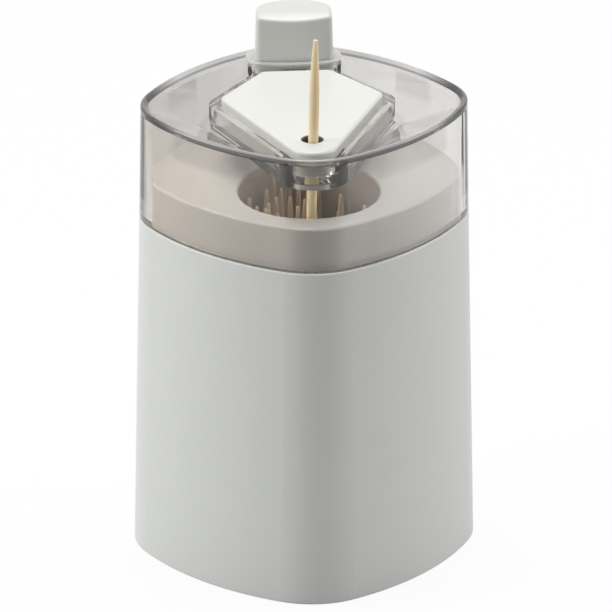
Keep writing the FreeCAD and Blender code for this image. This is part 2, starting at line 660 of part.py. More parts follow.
def build_cover_plate():
    body = new_body("cover_plate")
    outline = new_sketch(body, "plate_outline", "tub_top")
    draw_kite(outline)
    extrude("Pad", outline, "plate", "tub_depth - cover_drop")
    hollow = new_sketch(body, "hollow_outline", "tub_top")
    draw_kite(hollow, "0 - skirt_wall")
    extrude("Pocket", hollow, "hollow", "tub_depth - cover_drop - cover_thick")
    nose = new_sketch(body, "nose_outline", "tub_top")
    draw_nose(nose, "socket_radius + socket_fit")
    extrude("Pocket", nose, "room_for_nose", "tub_depth - socket_top + socket_fit")
    boss = new_sketch(body, "boss_outline", "rim_height - boss_drop")
    draw_circle(boss, "boss_radius", "0", "0 - outlet_forward")
    extrude("Pad", boss, "boss", "boss_drop - cover_drop - cover_thick / 2")
    outlet = new_sketch(body, "outlet_outline", "cover_top")
    draw_circle(outlet, "outlet_radius", "0", "0 - outlet_forward")
    extrude("Pocket", outlet, "outlet", "boss_drop", up=False)
    notch = new_sketch(body, "tongue_notch_outline", "rim_height - boss_drop")
    draw_box(notch, "0 - tongue_half - gate_gap", "tongue_half + gate_gap",
             "0 - outlet_forward", "boss_radius + gate_gap - outlet_forward")
    extrude("Pocket", notch, "tongue_notch", "boss_drop - tub_depth + gate_space")
    arm = new_sketch(body, "arm_notch_outline", "tub_top")
    draw_box(arm, "0 - arm_half - gate_gap", "arm_half + gate_gap",
             "tail_back", "tail_back + tail_round + collar_gap")
    extrude("Pocket", arm, "arm_notch", "gate_space")
    soften("Fillet", body, "rounded_plate", "cover_round", edges_along(outline, "cover_top"))
    soften("Fillet", body, "rounded_outlet", "outlet_round", edges_along(outlet, "cover_top"))
    return body


# ---------------------------------------------------------------- button, gate, springs

def slanted(height):
    """Middle of the leg, front to back, at a height over the middle of the gate."""
    return "leg_back + " + height + " * gate_travel / travel"


def build_push_button():
    body = new_body("push_button")
    lower = new_sketch(body, "lower_outline", "rim_height - button_sunk")
    draw_button(lower, "0", "button_edge")
    extrude("Pad", lower, "skirt", "button_sunk")
    rim = new_sketch(body, "rim_outline", "rim_height")
    draw_button(rim, "0", "button_edge")
    top = new_sketch(body, "top_outline", "rim_height + button_rise")
    draw_button(top, "0 - button_draft", "button_edge - button_draft")
    loft("AdditiveLoft", "head", rim, top)
    crown = new_sketch(body, "crown_outline", "0 - button_half", "YZ_Plane")
    draw_crown(crown)
    extrude("Pocket", crown, "crown", "2 * button_half")
    hollow = new_sketch(body, "hollow_outline", "rim_height - button_sunk")
    draw_button(hollow, "0 - button_wall", "hollow_edge")
    extrude("Pocket", hollow, "hollow", "button_sunk + ceiling_rise")
    notch = new_sketch(body, "arm_notch_outline", "rim_height - button_sunk")
    draw_box(notch, "0 - arm_half - gate_gap", "arm_half + gate_gap",
             "button_front - button_gap", "button_front + button_wall + button_gap")
    extrude("Pocket", notch, "arm_notch", "button_sunk - tub_depth + travel + gate_space")
    add_leg(body)
    lugs = new_sketch(body, "lug_outline", "rim_height - button_sunk")
    root, reach = "button_half - button_wall / 2", "button_half + lug_reach"
    draw_box(lugs, root, reach, "lug_front", "lug_front + lug_length")
    draw_box(lugs, minus("0", reach), minus("0", root), "lug_front", "lug_front + lug_length")
    extrude("Pad", lugs, "lugs", "lug_height")
    pins = new_sketch(body, "pin_outline", "rim_height + ceiling_rise")
    draw_circle(pins, "post_radius", "0 - spring_aside", "spring_back")
    draw_circle(pins, "post_radius", "spring_aside", "spring_back")
    extrude("Pad", pins, "spring_pins", "post_height", up=False)
    soften("Fillet", body, "rounded_top", "button_round",
           lambda edge: edge.BoundBox.ZMin > number("rim_height + ceiling_rise") + 0.5)
    return body


def draw_crown(sketch):
    """Region over the crowned top, in a sketch seen from the side."""
    first = sketch.GeometryCount
    radius = number("crown_radius")
    middle_height = "rim_height + button_rise - crown_radius"
    roof = "rim_height + button_rise + button_wall"
    front, back = "button_front - button_wall", "rim_reach"
    middle = Vector(number("crown_back"), number(middle_height), 0)
    start = math.acos((number(back) - middle.x) / radius)
    end = math.acos((number(front) - middle.x) / radius)
    add_arc(sketch, middle, radius, start, end)
    low_front = Vector(number(front), middle.y + radius * math.sin(end), 0)
    low_back = Vector(number(back), middle.y + radius * math.sin(start), 0)
    high_front = Vector(number(front), number(roof), 0)
    high_back = Vector(number(back), number(roof), 0)
    sketch.addGeometry(Part.LineSegment(low_front, high_front))
    sketch.addGeometry(Part.LineSegment(high_front, high_back))
    sketch.addGeometry(Part.LineSegment(high_back, low_back))
    join(sketch, "Coincident", first, 4)
    fix(sketch, "Radius", first, text="crown_radius")
    place(sketch, first, 3, "crown_back", middle_height)
    place(sketch, first + 2, 1, front, roof)
    place(sketch, first + 2, 2, back, roof)
    sketch.addConstraint(Sketcher.Constraint("Vertical", first + 1))
    sketch.addConstraint(Sketcher.Constraint("Vertical", first + 3))


def add_leg(body):
    """Leg that hangs in the button and slants through the gate's window."""
    low = "rim_height - tub_depth + gate_float - leg_over"
    high = "rim_height - tub_depth + gate_float + gate_thick + travel + leg_over"
    ceiling = "rim_height + ceiling_rise + button_wall / 2"
    foot = slanted("-1 * gate_thick / 2") + " - leg_over * gate_travel / travel"
    knee = slanted("gate_thick / 2") + " + gate_travel + leg_over * gate_travel / travel"
    leg = new_sketch(body, "leg_outline", "0 - leg_half", "YZ_Plane")
    draw_polygon(leg, [
        (foot + " - leg_thick / 2", low),
        (foot + " + leg_thick / 2", low),
        (knee + " + leg_thick / 2", high),
        (knee + " + leg_thick / 2", ceiling),
        (knee + " - leg_thick / 2", ceiling),
        (knee + " - leg_thick / 2", high),
    ])
    extrude("Pad", leg, "leg", "2 * leg_half")


def build_gate_slider():
    body = new_body("gate_slider")
    pick_line = "pick_radius + pick_slack - outlet_forward - outlet_radius"
    tip = pick_line + " + tongue_hold"
    right_side = [
        ("tongue_half", tip),
        ("tongue_half", "0 - gate_front"),
        ("gate_half", "0 - gate_front"),
        ("gate_half", "gate_back"),
        ("arm_half", "gate_back"),
        ("arm_half", "arm_end"),
    ]
    left_side = [(minus("0", across), along) for across, along in reversed(right_side)]
    outline = new_sketch(body, "gate_outline", "tub_top + gate_float")
    draw_polygon(outline, right_side + left_side)
    extrude("Pad", outline, "gate", "gate_thick")
    notch = new_sketch(body, "notch_outline", "tub_top + gate_float")
    draw_circle(notch, "pick_radius + pick_slack", "0", pick_line)
    extrude("Pocket", notch, "pick_notch", "gate_thick")
    window = new_sketch(body, "window_outline", "0 - leg_half - gate_gap", "YZ_Plane")
    low = "tub_top + gate_float - gate_thick / 2"
    high = "tub_top + gate_float + 1.5 * gate_thick"
    half = "leg_thick / 2 + gate_gap"
    draw_polygon(window, [
        (minus(slanted("-1 * gate_thick"), half), low),
        (slanted("-1 * gate_thick") + " + " + half, low),
        (slanted("gate_thick") + " + " + half, high),
        (minus(slanted("gate_thick"), half), high),
    ])
    extrude("Pocket", window, "leg_window", "2 * leg_half + 2 * gate_gap")
    return body


def build_spring(label, side):
    """Spring that stands on a post in the guide and reaches the button's ceiling."""
    body = new_body(label)
    end_gap = "wire_radius + spring_gap"
    wire = new_sketch(body, "wire_outline", plane="XZ_Plane")
    draw_circle(wire, "wire_radius", "coil_radius", "well_top + " + end_gap)
    coil = body.newObject("PartDesign::AdditiveHelix", "coil")
    coil.Profile = wire
    coil.ReferenceAxis = (wire, ["V_Axis"])
    coil.Mode = "height-turns-angle"
    bind(coil, "Height", "well_depth + ceiling_rise - 2 * wire_radius - 2 * spring_gap")
    bind(coil, "Turns", "coil_turns")
    bind(body, "Placement.Base.x", side + " * spring_aside")
    bind(body, "Placement.Base.y", "spring_back")
    return body


# ---------------------------------------------------------------- picks

def build_toothpick():
    """Pick that the gate holds in the outlet. Its sketch starts at its lower tip."""
    body = new_body("toothpick")
    profile = new_sketch(body, "pick_profile", plane="XZ_Plane")
    thick, thin, taper = size("pick_radius"), size("pick_tip"), size("pick_taper")
    length = size("pick_length")
    bend = ((thick - thin) ** 2 + taper ** 2) / (2 * (thick - thin))
    turn = math.asin(taper / bend)
    profile.addGeometry(Part.LineSegment(Vector(0, 0, 0), Vector(thin, 0, 0)))
    add_arc(profile, Vector(thick - bend, taper, 0), bend, -turn, 0)
    profile.addGeometry(Part.LineSegment(Vector(thick, taper, 0), Vector(thick, length - taper, 0)))
    add_arc(profile, Vector(thick - bend, length - taper, 0), bend, 0, turn)
    profile.addGeometry(Part.LineSegment(Vector(thin, length, 0), Vector(0, length, 0)))
    profile.addGeometry(Part.LineSegment(Vector(0, length, 0), Vector(0, 0, 0)))
    for start, end, kind in ((0, 1, "Coincident"), (1, 2, "Tangent"), (2, 3, "Tangent"),
                             (3, 4, "Coincident"), (4, 5, "Coincident"), (5, 0, "Coincident")):
        profile.addConstraint(Sketcher.Constraint(kind, start, 2, end, 1))
    for shape, vertex, across, along in (
            (0, 1, "0", "0"), (0, 2, "pick_tip", "0"), (2, 1, "pick_radius", "pick_taper"),
            (2, 2, "pick_radius", "pick_length - pick_taper"),
            (4, 1, "pick_tip", "pick_length"), (4, 2, "0", "pick_length")):
        place(profile, shape, vertex, across, along)
    pick = body.newObject("PartDesign::Revolution", "pick")
    pick.Profile = profile
    pick.ReferenceAxis = (profile, ["V_Axis"])
    pick.Angle = 360
    body.Placement = held_pick_placement()
    return body


def held_pick_placement():
    """Place of the held pick: on the gate's middle line, leaning a little to the side."""
    lean = math.radians(size("pick_lean"))
    gate_middle = number("tub_top + gate_float + gate_thick / 2")
    shown = number("cover_top + pick_shown") - gate_middle
    below = size("pick_length") - shown / math.cos(lean)
    back = number("pick_radius + pick_slack - outlet_forward - outlet_radius")
    base = Vector(-below * math.sin(lean), back, gate_middle - below * math.cos(lean))
    return FreeCAD.Placement(base, FreeCAD.Rotation(Vector(0, 1, 0), size("pick_lean")))


def build_toothpick_bundle():
    """Stored picks, standing in rings that all slant the same way round."""
    length, thick, thin = size("pick_length"), size("pick_radius"), size("pick_tip")
    taper = size("pick_taper")
    profile = [(0, 0), (thin, 0), (thick, taper), (thick, length - taper), (thin, length),
               (0, length), (0, 0)]
    outline = Part.makePolygon([Vector(across, 0, up) for across, up in profile])
    pick = Part.Face(outline).revolve(Vector(0, 0, 0), Vector(0, 0, 1), 360)
    held = held_pick_placement()
    lane = held.Base + held.Rotation.multVec(Vector(0, 0, length / 4 - size("seat_depth")))
    floor = number("cup_under + cup_floor + pick_lift")
    picks = []
    for ring in range(1, int(size("ring_count")) + 1):
        radius = ring * size("ring_step")
        around = int(2 * math.pi * radius / size("pick_step"))
        for step in range(around):
            angle = 2 * math.pi * (step + ring / 2) / around
            outwards = Vector(math.cos(angle), math.sin(angle), 0)
            foot = outwards * radius + Vector(0, -size("mouth_forward"), floor)
            if math.hypot(foot.x - lane.x, foot.y - lane.y) < size("lane_radius"):
                continue
            copy = pick.copy()
            copy.Placement = FreeCAD.Placement(
                foot, FreeCAD.Rotation(outwards, size("pick_slant")))
            picks.append(copy)
    bundle = doc.addObject("Part::Feature", "toothpick_bundle")
    bundle.Shape = Part.makeCompound(picks)
    bundle.Placement = FreeCAD.Placement()
    return bundle


# ---------------------------------------------------------------- checks and files

def check_document():
    """Stop if an object failed, or if a feature changed nothing or the wrong way."""
    doc.recompute()
    for thing in doc.Objects:
        if "Invalid" in thing.State or "Error" in thing.State:
            raise RuntimeError("%s failed: %s" % (thing.Label, thing.State))
        if thing.isDerivedFrom("Sketcher::SketchObject") and not thing.FullyConstrained:
            raise RuntimeError("%s is not fully constrained" % thing.Label)
        base = getattr(thing, "BaseFeature", None)
        if base is None or not hasattr(thing, "AddSubShape"):
            continue
        gain = thing.Shape.Volume - base.Shape.Volume
        adds = thing.TypeId in ("PartDesign::Pad", "PartDesign::AdditiveLoft")
        cuts = thing.TypeId in ("PartDesign::Pocket", "PartDesign::SubtractiveLoft")
        if (adds and gain <= 0) or (cuts and gain >= 0):
            raise RuntimeError("%s changed the volume by %.3f" % (thing.Label, gain))


def write_parts(parts):
    os.makedirs("parts", exist_ok=True)
    for part in parts:
        if part.Shape.isNull() or not part.Shape.isValid():
            raise RuntimeError("%s has no valid shape" % part.Label)
        if part.isDerivedFrom("PartDesign::Body") and len(part.Shape.Solids) != 1:
            raise RuntimeError("%s is %d solids" % (part.Label, len(part.Shape.Solids)))
    for part in parts:
        part.Shape.exportStep("parts/%s.step" % part.Label)
        print("%-20s %9.1f mm3" % (part.Label, part.Shape.Volume))


pieces = [
    build_outer_body(),
    build_base_plate(),
    build_pick_container(),
    build_lid(),
    build_cover_plate(),
    build_push_button(),
    build_gate_slider(),
    build_spring("button_spring_left", "-1"),
    build_spring("button_spring_right", "1"),
    build_toothpick(),
    build_toothpick_bundle(),
]
check_document()
write_parts(pieces)
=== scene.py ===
import math
import random

import bmesh
import bpy
from mathutils import Matrix, Vector


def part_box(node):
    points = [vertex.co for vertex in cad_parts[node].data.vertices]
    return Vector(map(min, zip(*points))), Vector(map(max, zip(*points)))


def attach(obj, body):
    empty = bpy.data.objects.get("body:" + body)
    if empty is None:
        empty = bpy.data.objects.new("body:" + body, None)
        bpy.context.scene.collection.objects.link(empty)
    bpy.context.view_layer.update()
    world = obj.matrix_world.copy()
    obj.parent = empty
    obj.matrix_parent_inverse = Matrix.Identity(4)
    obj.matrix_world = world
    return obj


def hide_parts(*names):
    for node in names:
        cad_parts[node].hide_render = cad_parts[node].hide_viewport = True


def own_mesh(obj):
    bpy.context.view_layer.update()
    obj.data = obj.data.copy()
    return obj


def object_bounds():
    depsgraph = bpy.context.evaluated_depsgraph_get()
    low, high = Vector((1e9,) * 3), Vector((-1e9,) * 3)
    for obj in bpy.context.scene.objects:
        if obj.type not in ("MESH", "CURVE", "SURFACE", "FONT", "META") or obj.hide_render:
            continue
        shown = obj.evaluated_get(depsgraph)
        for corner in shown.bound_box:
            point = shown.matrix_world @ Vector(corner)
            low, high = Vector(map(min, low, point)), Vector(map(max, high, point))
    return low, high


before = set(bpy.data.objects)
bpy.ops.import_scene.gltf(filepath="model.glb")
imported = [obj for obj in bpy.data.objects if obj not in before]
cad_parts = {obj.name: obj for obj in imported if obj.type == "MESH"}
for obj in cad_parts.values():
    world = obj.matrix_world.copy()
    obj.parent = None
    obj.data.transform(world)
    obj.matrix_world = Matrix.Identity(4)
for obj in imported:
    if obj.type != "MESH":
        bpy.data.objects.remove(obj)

CAD_BOUNDS = [[float(value) for value in corner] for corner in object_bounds()]
MM = 0.001
rng = random.Random(7)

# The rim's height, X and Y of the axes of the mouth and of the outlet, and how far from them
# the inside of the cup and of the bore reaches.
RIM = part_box("lid")[1][2]
MOUTH = (0.0, -11.2 * MM)
OUTLET = (0.0, -19.05 * MM)
CUP_RADIUS = 14.05 * MM
BORE_RADIUS = 2.25 * MM

# A stored pick: its length, half its thickness, half the width of its blunt tip, the length
# of each point, and how finely a point and the round are divided.
PICK_LENGTH = 65 * MM
PICK_RADIUS = 0.98 * MM
PICK_TIP = 0.3 * MM
PICK_POINT = 13 * MM
POINT_RINGS = 8
PICK_SIDES = 14

# How the picks stand in the cup: how far apart on the left and on the right, and the lane
# round the held pick that stays free.
GAP_LEFT = 2.6 * MM
GAP_RIGHT = 4.6 * MM
LANE = Vector((-0.7 * MM, -20.1 * MM))
LANE_RADIUS = 3.6 * MM
PLACING_TRIES = 600

# How far the picks stand from the cup's axis, and how high at most on the left and on the
# right, in millimetres. How far they lean, in degrees, and how much of the length they have.
CUP_REACH = 12
LIFT_LEFT = 2.6
LIFT_RIGHT = 0.6
LEAN = (0.2, 1.0)
LENGTH_SHARE = (0.985, 1.0)

# The camera that was fitted to the photo. It looks at a point on the object's axis. The
# photo's side, the focal length and the place of the lens axis are in pixels of the photo.
CAMERA_TURN = math.radians(4.782)
CAMERA_RISE = math.radians(23.148)
CAMERA_AWAY = 1.2735
CAMERA_AIM = Vector((0, 0, 0.0455))
PHOTO_SIDE = 612
FOCAL_LENGTH = 6328.5
LENS_AXIS = (304.2, 326.90)
SENSOR_WIDTH = 36

# The light: the world's strength, and each lamp's name, place in metres and power in watts.
SKY_LIGHT = 0.30
LAMP_WIDTH = 0.5
LAMP_AIM = Vector((0, 0, 0.06))
LAMPS = (
    ("left_lamp", (-1.0, 0.0, 0.42), 5.2),
    ("right_lamp", (1.0, 0.05, 0.42), 3.5),
    ("top_lamp", (0.0, 0.15, 1.1), 6.6),
)


# ---------------------------------------------------------------- nodes

def new_material(name):
    """New material, with its node tree and its Principled shader."""
    material = bpy.data.materials.new(name)
    material.use_nodes = True
    tree = material.node_tree
    return material, tree, tree.nodes["Principled BSDF"]


def add(tree, kind, **settings):
    """New node of a kind, with its settings."""
    node = tree.nodes.new(kind)
    for key, value in settings.items():
        setattr(node, key, value)
    return node


def math_node(tree, operation, *values):
    """Result of a Math node on sockets and floats."""
    node = add(tree, "ShaderNodeMath", operation=operation)
    for slot, value in enumerate(values):
        if isinstance(value, float):
            node.inputs[slot].default_value = value
        else:
            tree.links.new(value, node.inputs[slot])
    return node.outputs[0]


def product(tree, first, *others):
    """Product of all the values."""
    for other in others:
        first = math_node(tree, "MULTIPLY", first, other)
    return first


def span(tree, value, low, high, start=0.0, end=1.0):
    """Number that runs from low to high as a value runs from start to end."""
    spread = add(tree, "ShaderNodeMapRange")
    tree.links.new(value, spread.inputs["Value"])
    spread.inputs["From Min"].default_value = start
    spread.inputs["From Max"].default_value = end
    spread.inputs["To Min"].default_value = low
    spread.inputs["To Max"].default_value = high
    return spread.outputs["Result"]


def rising(tree, value, edge, soft, low=0.0, high=1.0):
    """Number that goes from low to high where a value passes an edge."""
    return span(tree, value, low, high, edge - soft, edge + soft)


def falling(tree, value, edge, soft):
    """1 where a value is below an edge, 0 above it."""
    return rising(tree, value, edge, soft, 1.0, 0.0)


def between(tree, value, low, high, soft):
    """1 where a value lies between two edges, 0 elsewhere."""
    return product(tree, rising(tree, value, low, soft), falling(tree, value, high, soft))


def ramp(tree, factor, low, high):
    """Colour that runs from low to high with a factor."""
    mix = add(tree, "ShaderNodeMix", data_type="RGBA")
    tree.links.new(factor, mix.inputs["Factor"])
    mix.inputs["A"].default_value = (*low, 1)
    mix.inputs["B"].default_value = (*high, 1)
    return mix.outputs["Result"]


def tinted(tree, colour, *tints):
    """Colour multiplied by each tint, as far as the tint's own mask goes."""
    for mask, tint in tints:
        mix = add(tree, "ShaderNodeMix", data_type="RGBA", blend_type="MULTIPLY")
        tree.links.new(mask, mix.inputs["Factor"])
        tree.links.new(colour, mix.inputs["A"])
        mix.inputs["B"].default_value = (*tint, 1)
        colour = mix.outputs["Result"]
    return colour


def blend(tree, share, first, second):
    """Shader that goes from first to second with a share."""
    mix = add(tree, "ShaderNodeMixShader")
    tree.links.new(share, mix.inputs["Fac"])
    tree.links.new(first, mix.inputs[1])
    tree.links.new(second, mix.inputs[2])
    return mix.outputs["Shader"]


def noise(tree, scale, detail, stretch=(1, 1, 1)):
    """Noise in the object's own space, finer by scale and stretched along an axis."""
    place = add(tree, "ShaderNodeTexCoord")
    spread = add(tree, "ShaderNodeMapping")
    spread.inputs["Scale"].default_value = stretch
    texture = add(tree, "ShaderNodeTexNoise")
    texture.inputs["Scale"].default_value = scale
    texture.inputs["Detail"].default_value = detail
    tree.links.new(place.outputs["Object"], spread.inputs["Vector"])
    tree.links.new(spread.outputs["Vector"], texture.inputs["Vector"])
    return texture.outputs["Fac"]


def bump(tree, shader, height, depth, strength=1.0):
    """Fine relief on a shader, by a height and as deep as depth."""
    relief = add(tree, "ShaderNodeBump")
    relief.inputs["Strength"].default_value = strength
    relief.inputs["Distance"].default_value = depth
    tree.links.new(height, relief.inputs["Height"])
    tree.links.new(relief.outputs["Normal"], shader.inputs["Normal"])


def place_of(tree):
    """X, Y and Z of the shaded point in the object's own space."""
    place = add(tree, "ShaderNodeTexCoord")
    parts = add(tree, "ShaderNodeSeparateXYZ")
    tree.links.new(place.outputs["Object"], parts.inputs["Vector"])
    return parts.outputs


def from_axis(tree, place, across, along):
    """Distance of the shaded point from an upright axis."""
    x = math_node(tree, "SUBTRACT", place["X"], across)
    y = math_node(tree, "SUBTRACT", place["Y"], along)
    squares = math_node(tree, "ADD", product(tree, x, x), product(tree, y, y))
    return math_node(tree, "SQRT", squares)


def upright_share(tree):
    """1 on walls and 0 on floors and slopes."""
    shape = add(tree, "ShaderNodeNewGeometry")
    facing = add(tree, "ShaderNodeSeparateXYZ")
    tree.links.new(shape.outputs["Normal"], facing.inputs["Vector"])
    slope = math_node(tree, "ABSOLUTE", facing.outputs["Z"])
    return falling(tree, slope, 0.5, 0.1)


# ---------------------------------------------------------------- materials

def moulded(name, low, high, rough, tints=None):
    """Moulded plastic: faint cloudiness, a spark-eroded grain and uneven gloss.

    tints makes the masks and tints that change its colour from place to place, painted light
    and shade among them.
    """
    material, tree, shader = new_material(name)
    clouds = noise(tree, 60.0, 4.0)
    grain = noise(tree, 2600.0, 2.0)
    colour = ramp(tree, clouds, low, high)
    if tints:
        colour = tinted(tree, colour, *tints(tree))
    tree.links.new(colour, shader.inputs["Base Color"])
    tree.links.new(span(tree, clouds, rough - 0.04, rough + 0.04), shader.inputs["Roughness"])
    bump(tree, shader, grain, 0.01 * MM)
    return material


def container_painted_light_and_shade(tree):
    """Warmer to the left; painted shade in the cup, painted light on the neck's walls and more
    to the right, and painted shade on all but the right.
    """
    place = place_of(tree)
    from_mouth = from_axis(tree, place, *MOUTH)
    left = falling(tree, place["X"], -4 * MM, 16 * MM)
    cup = falling(tree, from_mouth, CUP_RADIUS, 0.1 * MM)
    outside = rising(tree, from_mouth, 14.5 * MM, 0.1 * MM)
    wall_painted_light = product(tree, upright_share(tree), outside)
    right_wall_painted_light = product(tree, wall_painted_light, rising(tree, place["X"], 8 * MM, 8 * MM))
    painted_shade_short_of_right = falling(tree, place["X"], 14 * MM, 10 * MM)
    return (
        (left, (1.0, 0.98, 0.96)),
        # Painted shade in the cup.
        (cup, (0.94, 0.85, 0.80)),
        # Painted light on the neck's walls, more to the right.
        (wall_painted_light, (1.10, 1.10, 1.10)),
        (right_wall_painted_light, (1.12, 1.12, 1.12)),
        # Painted shade on all but the right.
        (painted_shade_short_of_right, (0.93, 0.93, 0.93)),
    )


def cover_painted_bore_shade(tree):
    """Painted shade inside the outlet's bore."""
    bore = falling(tree, from_axis(tree, place_of(tree), *OUTLET), BORE_RADIUS, 0.1 * MM)
    return ((bore, (0.20, 0.16, 0.12)),)


def acrylic_painted_light_and_shade(tree, place, walls):
    """Painted light and shade in the lid's tint: painted shade on the collar, painted light on
    the boss between the nose's painted dark sides, and a painted warmer, darker left front.
    """
    depth = math_node(tree, "SUBTRACT", RIM, place["Z"])
    aside = math_node(tree, "ABSOLUTE", place["X"])
    front = falling(tree, place["Y"], -17 * MM, 1 * MM)
    inner = falling(tree, from_axis(tree, place, 0.0, 0.0), 29 * MM, 0.2 * MM)
    ahead = falling(tree, place["Y"], 19.4 * MM, 0.2 * MM)
    collar = product(tree, walls, inner, ahead)
    # Painted shade on the collar's walls round the kite, strongest near the top.
    collar_painted_shade = product(tree, collar, rising(tree, depth, 6.5 * MM, 0.8 * MM, 1.0, 0.2))
    # Painted light: the boss seen through the nose made brighter.
    boss = product(tree, collar, front, falling(tree, aside, 3.7 * MM, 0.4 * MM))
    # Painted shade: the nose's sides nearly black, in place of the dark refraction in thick
    # plastic.
    nose_painted_dark_sides = product(tree, collar, front,
                         between(tree, aside, 4.1 * MM, 6.4 * MM, 0.4 * MM),
                         between(tree, depth, 2.4 * MM, 7.8 * MM, 0.3 * MM))
    # Painted warmer, darker tone on the left front, darker still at its left corner.
    outer_front = product(tree, math_node(tree, "SUBTRACT", 1.0, inner),
                          falling(tree, place["Y"], 0.0, 2 * MM))
    left = product(tree, outer_front, falling(tree, place["X"], -10 * MM, 14 * MM))
    left_corner_painted_shade = product(tree, outer_front, falling(tree, place["X"], -25 * MM, 5 * MM))
    return (
        (collar_painted_shade, (0.66, 0.64, 0.65)),
        (left, (0.98, 0.94, 0.89)),
        (left_corner_painted_shade, (0.93, 0.92, 0.91)),
        (boss, (2.1, 2.03, 1.97)),
        (nose_painted_dark_sides, (0.02, 0.02, 0.025)),
    )


def rim_painted_highlight_share(tree, place):
    """Share of the painted highlight on the rim: strongest on the rim's top and behind, faint
    at the corners.
    """
    top = rising(tree, place["Z"], RIM - 0.36 * MM, 0.01 * MM, 0.0, 0.25)
    below = rising(tree, place["Z"], RIM - 1.0 * MM, 0.1 * MM, 0.0, 0.30)
    behind = rising(tree, place["Y"], 6 * MM, 6 * MM, 1.0, 1.5)
    aside = math_node(tree, "ABSOLUTE", place["X"])
    corners = rising(tree, aside, 27 * MM, 3 * MM, 1.0, 0.15)
    return product(tree, math_node(tree, "ADD", top, below), behind, corners)


def smoky_acrylic():
    """Clear acrylic with a smoky tint, painted light and shade, and a painted highlight on the
    rim. Lamps' light passes it, less so through the dish.
    """
    material, tree, shader = new_material("smoky_acrylic")
    place = place_of(tree)
    walls = upright_share(tree)
    wear_and_highlight_noise = noise(tree, 90.0, 5.0)
    colour = ramp(tree, noise(tree, 40.0, 3.0), (0.876, 0.870, 0.858), (0.896, 0.890, 0.878))
    # Painted light and shade in the lid's tint.
    colour = tinted(tree, colour, *acrylic_painted_light_and_shade(tree, place, walls))
    tree.links.new(colour, shader.inputs["Base Color"])
    tree.links.new(span(tree, wear_and_highlight_noise, 0.0, 0.03), shader.inputs["Roughness"])
    shader.inputs["Transmission Weight"].default_value = 1.0
    shader.inputs["IOR"].default_value = 1.49
    # Opaque grey shader mixed in on the rim: a painted highlight.
    edge = add(tree, "ShaderNodeBsdfPrincipled")
    rim_highlight_colour = ramp(tree, wear_and_highlight_noise, (0.66, 0.65, 0.64), (0.74, 0.73, 0.72))
    tree.links.new(rim_highlight_colour, edge.inputs["Base Color"])
    edge.inputs["Roughness"].default_value = 0.2
    clear = add(tree, "ShaderNodeBsdfTransparent")
    tree.links.new(span(tree, walls, 0.76, 0.93), clear.inputs["Color"])
    path = add(tree, "ShaderNodeLightPath")
    seen = blend(tree, rim_painted_highlight_share(tree, place), shader.outputs["BSDF"], edge.outputs["BSDF"])
    surface = blend(tree, path.outputs["Is Shadow Ray"], seen, clear.outputs["BSDF"])
    smoke = add(tree, "ShaderNodeVolumeAbsorption")
    smoke.inputs["Color"].default_value = (0.42, 0.37, 0.33, 1)
    smoke.inputs["Density"].default_value = 45.0
    output = tree.nodes["Material Output"]
    tree.links.new(surface, output.inputs["Surface"])
    tree.links.new(smoke.outputs["Volume"], output.inputs["Volume"])
    return material


def wood(name, low, high, soft=0.0):
    """Birch: fine fibres that run along Z. Light spreads in it where it is soft."""
    material, tree, shader = new_material(name)
    fibres = noise(tree, 900.0, 4.0, (1, 1, 0.04))
    tree.links.new(ramp(tree, fibres, low, high), shader.inputs["Base Color"])
    tree.links.new(span(tree, fibres, 0.55, 0.75), shader.inputs["Roughness"])
    shader.inputs["Specular IOR Level"].default_value = 0.3
    shader.inputs["Subsurface Weight"].default_value = soft
    shader.inputs["Subsurface Radius"].default_value = (1.0, 0.8, 0.6)
    shader.inputs["Subsurface Scale"].default_value = 1.5 * MM
    bump(tree, shader, fibres, 0.05 * MM, 0.6)
    return material


def steel():
    """Drawn spring wire."""
    material, tree, shader = new_material("spring_steel")
    drawn = noise(tree, 1500.0, 2.0)
    colour = ramp(tree, drawn, (0.42, 0.42, 0.43), (0.62, 0.62, 0.63))
    tree.links.new(colour, shader.inputs["Base Color"])
    tree.links.new(span(tree, drawn, 0.22, 0.38), shader.inputs["Roughness"])
    shader.inputs["Metallic"].default_value = 1.0
    return material


MATERIALS = {
    "outer_body": moulded("body_plastic", (0.770, 0.785, 0.760), (0.800, 0.815, 0.790), 0.42),
    "base_plate": moulded("base_plastic", (0.40, 0.40, 0.39), (0.44, 0.44, 0.43), 0.55),
    # Darker than the body's white plastic: painted shade under the lid.
    "pick_container": moulded("container_plastic", (0.540, 0.526, 0.505),
                              (0.575, 0.561, 0.540), 0.45, container_painted_light_and_shade),
    "lid": smoky_acrylic(),
    "cover_plate": moulded("cover_plastic", (0.775, 0.785, 0.740),
                           (0.810, 0.820, 0.775), 0.32, cover_painted_bore_shade),
    "push_button": moulded("button_plastic", (0.715, 0.715, 0.690),
                           (0.750, 0.750, 0.725), 0.34),
    "gate_slider": moulded("gate_plastic", (0.74, 0.74, 0.71), (0.80, 0.80, 0.77), 0.45),
    "button_spring_left": steel(),
    "toothpick": wood("held_birch", (0.95, 0.72, 0.44), (1.0, 0.84, 0.60), 0.6),
    # The stored picks' birch is darker than the held pick's: painted shade in the cup.
    "toothpick_bundle": wood("birch", (0.62, 0.44, 0.27), (0.76, 0.60, 0.41)),
}
MATERIALS["button_spring_right"] = MATERIALS["button_spring_left"]
for node, material in MATERIALS.items():
    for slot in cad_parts[node].material_slots:
        slot.material = material


def new_object(name, data):
    """New object in the scene."""
    item = bpy.data.objects.new(name, data)
    bpy.context.scene.collection.objects.link(item)
    return item


# ---------------------------------------------------------------- stored picks

